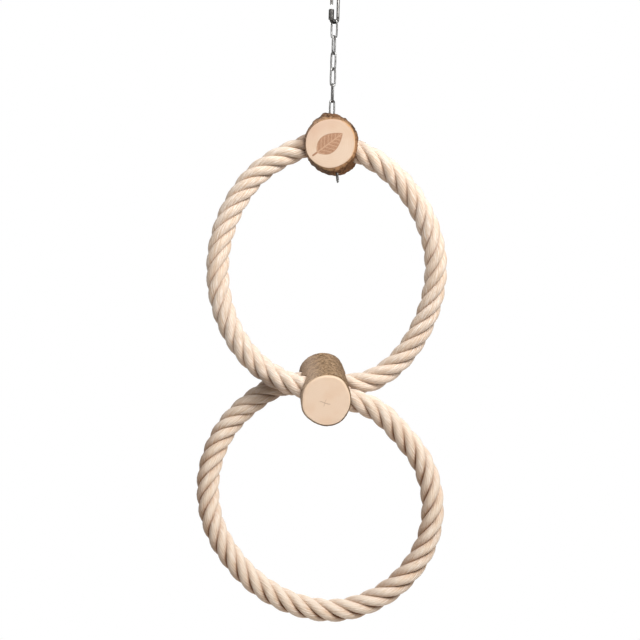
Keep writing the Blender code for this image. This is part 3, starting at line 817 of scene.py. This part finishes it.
def barrelMarks(tree, spot, colour, height):  # pith in the middle, and a pale eased rim
    x, y, z = tree.split(spot)
    pithX, pithZ = perchBarrel["pith"]
    px, pz = x - pithX, z - pithZ
    reach = tree.reach(px, pz)
    wiggle = tree.grain(spot, 0.35, 2.0) * 3.0 - 1.5
    star = tree.ramp(abs(pz + px * 0.3 + wiggle), 0.75, 0.2)
    cross = tree.ramp(abs(px - pz * 0.3 + wiggle), 0.6, 0.15) * 0.6
    pith = tree.maths("MAXIMUM", star * tree.ramp(reach, 7.5, 4.0), cross * tree.ramp(reach, 6.0, 2.5))
    front = tree.ramp(y, *perchBarrel["rimEnd"])
    edge, band = (tree.ramp(y, *depths) * front for depths in perchBarrel["rimDepths"])
    edgeTone, bandTone = perchBarrel["rimTones"]
    colour = tree.coats(colour, (pith * 0.55, perchBarrel["pithTone"]),
                        (edge * 0.8, edgeTone), (band * 0.85, bandTone))
    return colour, height - pith * 1.5


def barkFinish(name, wood):
    material, tree = newFinish(name)
    dark, mid, pale, inner = wood["barkTones"]
    scale, stretch, depth = wood["barkGrain"]
    spot = tree.local(wood["place"])
    x, y, z = tree.split(spot)
    stretched = spot * (1.0, stretch, 1.0)
    plates = tree.grain(stretched, 0.16 * scale, 5.0, 0.65)
    flecks = tree.grain(stretched, 0.7 * scale, 4.0, 0.6)
    warp = tree.make("ShaderNodeTexNoise", None, {"Vector": spot, "Scale": 0.5 * scale}, "Color")
    cracks = tree.cells(stretched + warp * (2.5, 2.5, 2.5), 0.35 * scale)
    front = wood["depth"] / 2
    near, far = wood["fresh"]
    wide = tree.ramp(x - z, *bark["freshLow"]) * bark["freshWider"]
    fresh = tree.ramp(y - wide + tree.grain(spot, 0.3, 2.0) * 2.0, far - front, near - front)
    share, start, end = wood["darkRight"]
    colour = tree.coats(
        dark, (tree.ramp(plates, 0.36, 0.62), mid), (tree.ramp(flecks, 0.5, 0.72) * 0.75, pale),
        (fresh * (tree.ramp(x, *bark["freshFrom"]) * 0.5 + 0.3), inner),
        (tree.ramp(x, *bark["paleFrom"]) * wood["paleLeft"], bark["pale"]),
        (tree.ramp(x, start, end) * tree.ramp(z, *bark["darkFrom"]) * share, dark),
        (tree.ramp(x * 1.2 - z * 0.8, *bark["warmFrom"]) * wood["warmLow"], bark["warm"]),
        (tree.ramp(cracks, 0.36, 0.12) * 0.7, dark))
    height = plates * 0.9 + flecks * 0.6 + tree.ramp(cracks, 0.1, 0.4) * 0.4
    paint(tree, {"Base Color": colour, "Roughness": 0.78 + flecks * 0.15, "Specular IOR Level": 0.2,
                 "Normal": tree.bump(height, depth * mm, 0.9)})
    return material


def boredFinish(name):
    material, tree = newFinish(name)
    fibres = tree.grain(tree.millimetres() * (1.0, 0.25, 1.0), 0.9, 4.0, 0.6)
    colour = tree.blend(tree.ramp(fibres, 0.3, 0.7), *holes["tones"])
    paint(tree, {"Base Color": colour, "Roughness": 0.85, "Specular IOR Level": 0.2,
                 "Normal": tree.bump(fibres, 0.4 * mm, 0.7)})
    return material


def dressWood(mesh, name, wood, marks):  # the order of the slots: sawn face, bark, bored wood
    mesh.materials.append(woodFace(name + "Wood", wood, marks))
    mesh.materials.append(barkFinish(name + "Bark", wood))
    mesh.materials.append(boredFinish(name + "Bored"))


def makeSlice():
    mesh = branchMesh("branchSlice", topSlice)
    dressWood(mesh, "slice", topSlice, sliceMarks)
    drilled = []
    radius = holes["rope"]
    for end, mouth in (("leftEnd", "leftMouth"), ("rightEnd", "rightMouth")):
        way = Vector(rope[mouth]) - Vector(rope[end])
        profile = ((radius, -holes["socketFloor"]), (radius, way.length + holes["ropePast"]))
        drilled.append((profile, heading(fromSlice(rope[end]), way)))
    low, high = holes["flareReach"]
    bore, flare, past = holes["chain"], holes["flare"], holes["flarePast"]
    hung = Matrix.Translation((0, 0, chainLine["hinge"] * mm)) @ turned(chainLine["lean"], "Y")
    drilled.append((((bore + flare + past, low - past), (bore, low + flare), (bore, high - flare),
                     (bore + flare + past, high + past)), hung))
    outward = turned(-90, "X")
    pinRadius, pinLength = holes["pin"]
    drilled.append((((pinRadius, -pinLength), (pinRadius, holes["nailPast"])),
                    inWood(topSlice, nails["pin"]) @ outward))
    for spot in nails["slice"]:
        drilled.append((nailHole(), inWood(topSlice, spot) @ outward))
    piece = drill(addPiece("branchSlice", mesh), drilled)
    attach(piece, "swing")
    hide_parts("top_slice")
    print("slice drilled:", len(piece.data.polygons), "faces")


def makeBarrel():
    mesh = branchMesh("branchBarrel", perchBarrel)
    dressWood(mesh, "barrel", perchBarrel, barrelMarks)
    drilled = []
    radius, past = holes["rope"], holes["ropePast"]
    for name in ("frontBore", "rearBore"):
        start, end = (Vector(point) for point in rope[name])
        way = end - start
        spot = fromSlice(start - way.normalized() * past)
        drilled.append((((radius, 0), (radius, way.length + 2 * past)), heading(spot, way)))
    down = turned(180, "X")
    for spot in nails["barrel"]:
        drilled.append((nailHole(), inWood(perchBarrel, spot) @ down))
    piece = drill(addPiece("branchBarrel", mesh), drilled)
    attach(piece, "swing")
    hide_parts("perch_barrel")
    print("barrel drilled:", len(piece.data.polygons), "faces")


makeSlice()
makeBarrel()


# steel: quick link, sleeve nut, chain, pin and nails

quickLink = {
    "leg": 6.7, "top": 1.7, "bottom": -30.7, "bend": 2.6, "wideBend": 6.0, "bendStep": 9, "turn": 57,
    "upperTip": -12.4, "upperThread": -6.4, "lowerTip": -17.6, "lowerThread": -27.4, "runIn": 0.5,
    "fineStep": 0.14, "step": 0.5, "taper": 0.6, "tipShare": 0.78, "sharp": 60,
    "darkBow": (-20.5, -25.0), "darkBowTone": tone(58, 56, 54),  # heights where the lower bow, where the first link hangs, turns to dark steel
    "shape": {"Wire": 3.4 * mm, "Pitch": 0.7 * mm, "Thread Depth": 0.26 * mm, "Points Around": 28},
}
sleeveNut = {
    "foot": -28.7, "length": 11.6, "flats": 5.4, "turn": 53, "ease": 0.7, "corner": 0.14,
    "bore": 2.04, "thread": 0.2, "pitch": 0.7, "runIn": 0.5, "mouth": (0.25, 0.35),
    "around": 96, "threadRows": 60, "endRows": (0, 0.12, 0.25, 0.4, 0.55, 0.7, 0.85, 1.1), "sharp": 25,
}
chain = {
    "shape": {"Wire": 2.0 * mm, "Bow Radius": 2.85 * mm, "Straight": 7.1 * mm, "Side Bulge": 0.25 * mm,
              "Weld Swell": 0.09, "Points Along": 84, "Points Around": 16},
    "loopPoints": 64, "weldSharpness": 45,
    # turn and top of each link
    "free": ((164, -27.7), (64, -45.3), (139, -62.9), (38, -80.5), (102, -98.1), (38, -115.7)),
    "inner": ((120, 2.3), (60, -15.3), (0, -32.9)), "tail": (98, -50.5),
}
steel = {  # dull and bright tone, roughness, scale of the drawn lines
    "zincSteel": (tone(142, 140, 136), tone(184, 182, 178), 0.24, 3.0),
    "nutSteel": (tone(112, 110, 106), tone(154, 152, 148), 0.24, 3.0),
    "nickelSteel": (tone(142, 141, 139), tone(184, 183, 181), 0.24, 4.0),
    "nailSteel": (tone(120, 118, 114), tone(176, 174, 170), 0.36, 2.0),
}


def steelFinish(name, darkBow=None):
    material, tree = newFinish(name)
    dull, bright, roughness, lineScale = steel[name]
    spot = tree.millimetres()
    cloud = tree.grain(spot, 0.35, 4.0, 0.6)
    drawn = tree.grain(spot * (1.0, 1.0, 0.12), lineScale, 3.0, 0.6)
    colour = tree.blend(tree.ramp(cloud, 0.3, 0.7), dull, bright)
    if darkBow:
        _, _, z = tree.split(spot)
        colour = tree.blend(tree.ramp(z, *darkBow) * 0.9, colour, quickLink["darkBowTone"])
    paint(tree, {"Base Color": colour, "Metallic": 1.0, "Roughness": roughness + cloud * 0.14 + drawn * 0.06,
                 "Normal": tree.bump(drawn + cloud * 0.5, 0.05 * mm, 0.12)})
    return material


def wireTree(material):
    tree, size = startShape("threadedWire", quickLink["shape"])
    line = tree.make("GeometryNodeMeshToCurve", None, {"Mesh": size["Geometry"]})
    place = tree.make("GeometryNodeInputPosition")
    run = tree.make("GeometryNodeSplineParameter", out="Length")
    line = keep(tree, line, {"wireAxis": place, "wireRun": run})
    ring = circle(tree, size["Points Around"], size["Wire"] * 0.5)
    ring = keep(tree, ring, {"wireRound": tree.make("GeometryNodeSplineParameter")})
    skin = sweep(tree, line, ring, {"Scale": kept(tree, "wireTaper"), "Fill Caps": True})
    outward = tree.vectors("NORMALIZE", place - kept(tree, "wireAxis", "FLOAT_VECTOR"))
    wave = tree.maths("PINGPONG", kept(tree, "wireRun") / size["Pitch"] - kept(tree, "wireRound"), 0.5) * 2
    sink = size["Thread Depth"] * kept(tree, "wireThread") * wave
    skin = move(tree, skin, "Offset", outward * (sink * -1))
    skin = forget(tree, skin, "wire*")
    return endShape(tree, skin, material)


def quickLinkLine():  # points down one leg and round, with their thread and taper
    leg, top, bottom, bend, wide = (quickLink[name] for name in ("leg", "top", "bottom", "bend", "wideBend"))
    step = quickLink["bendStep"]
    corners = []
    for x, z, radius, start in (
            (bend - leg, bottom + bend, bend, 180), (leg - wide, bottom + wide, wide, 270),
            (leg - bend, top - bend, bend, 0), (bend - leg, top - bend, bend, 90)):
        turns = [math.radians(start + turn) for turn in range(0, 91, step)]
        corners.append([(x + radius * math.cos(turn), z + radius * math.sin(turn)) for turn in turns])
    path = [(-leg, quickLink["lowerTip"]), *sum(corners, []), (-leg, quickLink["upperTip"])]
    points, threads, tapers = [], [], []
    for i, ((ax, az), (bx, bz)) in enumerate(zip(path, path[1:])):
        ends = i in (0, len(path) - 2)
        length = math.hypot(bx - ax, bz - az)
        count = max(1, round(length / quickLink["fineStep" if ends else "step"]))
        for k in range(count + (i == len(path) - 2)):
            x, z = ax + (bx - ax) * k / count, az + (bz - az) * k / count
            threaded, fromTip = 0.0, quickLink["taper"]
            if i == 0:
                threaded, fromTip = z - quickLink["lowerThread"], quickLink["lowerTip"] - z
            elif ends:
                threaded, fromTip = quickLink["upperThread"] - z, z - quickLink["upperTip"]
            points.append((x * mm, 0, z * mm))
            threads.append(min(1, max(0, threaded / quickLink["runIn"])))
            share = quickLink["tipShare"]
            tapers.append(share + (1 - share) * min(1, fromTip / quickLink["taper"]))
    return polyline("quickLinkLine", points, {"wireThread": threads, "wireTaper": tapers})


def makeQuickLink(wireZinc, nutZinc):
    base = quickLinkLine()
    base.transform(turned(quickLink["turn"], "Z"))
    piece = runShape("quickLinkWire", base, wireTree(wireZinc), quickLink["shape"])
    piece.data.set_sharp_from_angle(angle=math.radians(quickLink["sharp"]))
    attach(piece, "quick_link")
    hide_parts("quick_link_body")

    nut = makeNut(nutZinc)
    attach(nut, "sleeve_nut")
    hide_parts("quick_link_nut")
    print("quick link and nut:", len(piece.data.polygons) + len(nut.data.polygons), "faces")


def makeNut(zinc):
    length, half, ease = sleeveNut["length"], sleeveNut["flats"] / 2, sleeveNut["ease"]
    angles = fullRound(sleeveNut["around"])
    sixth = fullTurn / 6

    def outside(angle, height):
        flat = half / math.cos((angle % sixth) - sixth / 2)
        blunt = half / math.cos(sixth / 2) - sleeveNut["corner"]
        fromEnd = min(height, length - height)
        return min(flat, blunt, half - ease / 2 + fromEnd)

    def inside(angle, height):
        wave = abs((height / sleeveNut["pitch"] - angle / fullTurn) % 1 - 0.5) * 2
        fromEnd = min(height, length - height)
        wider, mouth = sleeveNut["mouth"]
        thread = sleeveNut["thread"] * wave * min(1, fromEnd / sleeveNut["runIn"])
        return sleeveNut["bore"] - thread + wider * max(0, 1 - fromEnd / mouth)

    ends, turns = sleeveNut["endRows"], sleeveNut["threadRows"]
    outer = [*ends, length / 2, *(length - z for z in reversed(ends))]
    inner = [length * (1 - i / turns) for i in range(turns + 1)]
    rows = [(outside, z) for z in outer] + [(inside, z) for z in inner]
    bm = bmesh.new()
    loops = []
    for reach, z in rows:
        spots = [Vector((math.cos(angle), math.sin(angle), 0)) * reach(angle, z) for angle in angles]
        loops.append([bm.verts.new((spot + Vector((0, 0, z))) * mm) for spot in spots])
    for low, high in zip(loops, loops[1:] + loops[:1]):
        for i in range(len(angles)):
            bm.faces.new((low[i - 1], low[i], high[i], high[i - 1]))
    leg = Vector((-quickLink["leg"], 0, sleeveNut["foot"])) * mm
    place = turned(quickLink["turn"], "Z") @ Matrix.Translation(leg) @ turned(sleeveNut["turn"], "Z")
    mesh = meshFrom("sleeveNut", bm, place)
    mesh.materials.append(zinc)
    mesh.shade_smooth()
    mesh.set_sharp_from_angle(angle=math.radians(sleeveNut["sharp"]))
    return addPiece("sleeveNut", mesh)


def linkTree(material):
    spots = {"Turn": 0.0, "Top": 0.0, "Lean": 0.0, "Hinge": 0.0}
    tree, size = startShape("chainLink", {**chain["shape"], **spots})
    loop = circle(tree, chain["loopPoints"], 1.0)
    x, y, _ = tree.split(tree.make("GeometryNodeInputPosition"))
    offSides = tree.maths("GREATER_THAN", abs(y), 0.001)
    spread = tree.maths("SIGN", y) * offSides * size["Straight"]
    spot = tree.vector(x * size["Bow Radius"], z=y * size["Bow Radius"] + spread)
    loop = move(tree, loop, "Position", spot)
    loop = tree.make("GeometryNodeResampleCurve", None, {"Curve": loop, "Count": size["Points Along"]})
    x, _, z = tree.split(tree.make("GeometryNodeInputPosition"))
    share = z / size["Straight"]
    bow = tree.maths("MAXIMUM", 1 - share * share, 0.0) * tree.maths("SIGN", x) * size["Side Bulge"]
    loop = move(tree, loop, "Offset", tree.vector(bow))
    fromWeld = tree.maths("PINGPONG", tree.make("GeometryNodeSplineParameter"), 0.5)
    weld = tree.maths("MAXIMUM", 1 - fromWeld * chain["weldSharpness"], 0.0) * size["Weld Swell"]
    ring = circle(tree, size["Points Around"], size["Wire"] * 0.5)
    skin = sweep(tree, loop, ring, {"Scale": 1 + weld})
    drop = size["Top"] - size["Straight"] - size["Bow Radius"]
    for turn, rise in ((tree.vector(z=size["Turn"]), drop), (tree.vector(y=size["Lean"]), size["Hinge"])):
        skin = tree.make("GeometryNodeTransform", None, {
            "Geometry": skin, "Translation": tree.vector(z=rise), "Rotation": turn})
    return endShape(tree, skin, material)


def makeChain(nickel):
    group = linkTree(nickel)
    links = [(f"link_{i:02d}", turn, top, 0, 0) for i, (turn, top) in enumerate(chain["free"], 1)]
    hung = [("swing", *link) for link in chain["inner"]] + [("tail_link", *chain["tail"])]
    links += [(body, turn, top, chainLine["lean"], chainLine["hinge"]) for body, turn, top in hung]
    for number, (body, turn, top, lean, hinge) in enumerate(links, 1):
        spots = {"Turn": math.radians(turn), "Top": top * mm, "Lean": math.radians(lean), "Hinge": hinge * mm}
        blank = bpy.data.meshes.new("chainBlank")
        piece = runShape(f"chainLink{number:02d}", blank, group, {**chain["shape"], **spots})
        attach(piece, body)
        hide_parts(f"chain_link_{number:02d}")
    print("chain hung:", len(links), "links")


makeQuickLink(steelFinish("zincSteel", quickLink["darkBow"]), steelFinish("nutSteel"))
makeChain(steelFinish("nickelSteel"))
nailSteel = steelFinish("nailSteel")
for name in ("chain_pin", "rope_nail_left", "rope_nail_right", "barrel_nail_front", "barrel_nail_rear"):
    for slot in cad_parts[name].material_slots:
        slot.material = nailSteel
print("pin and nails finished")
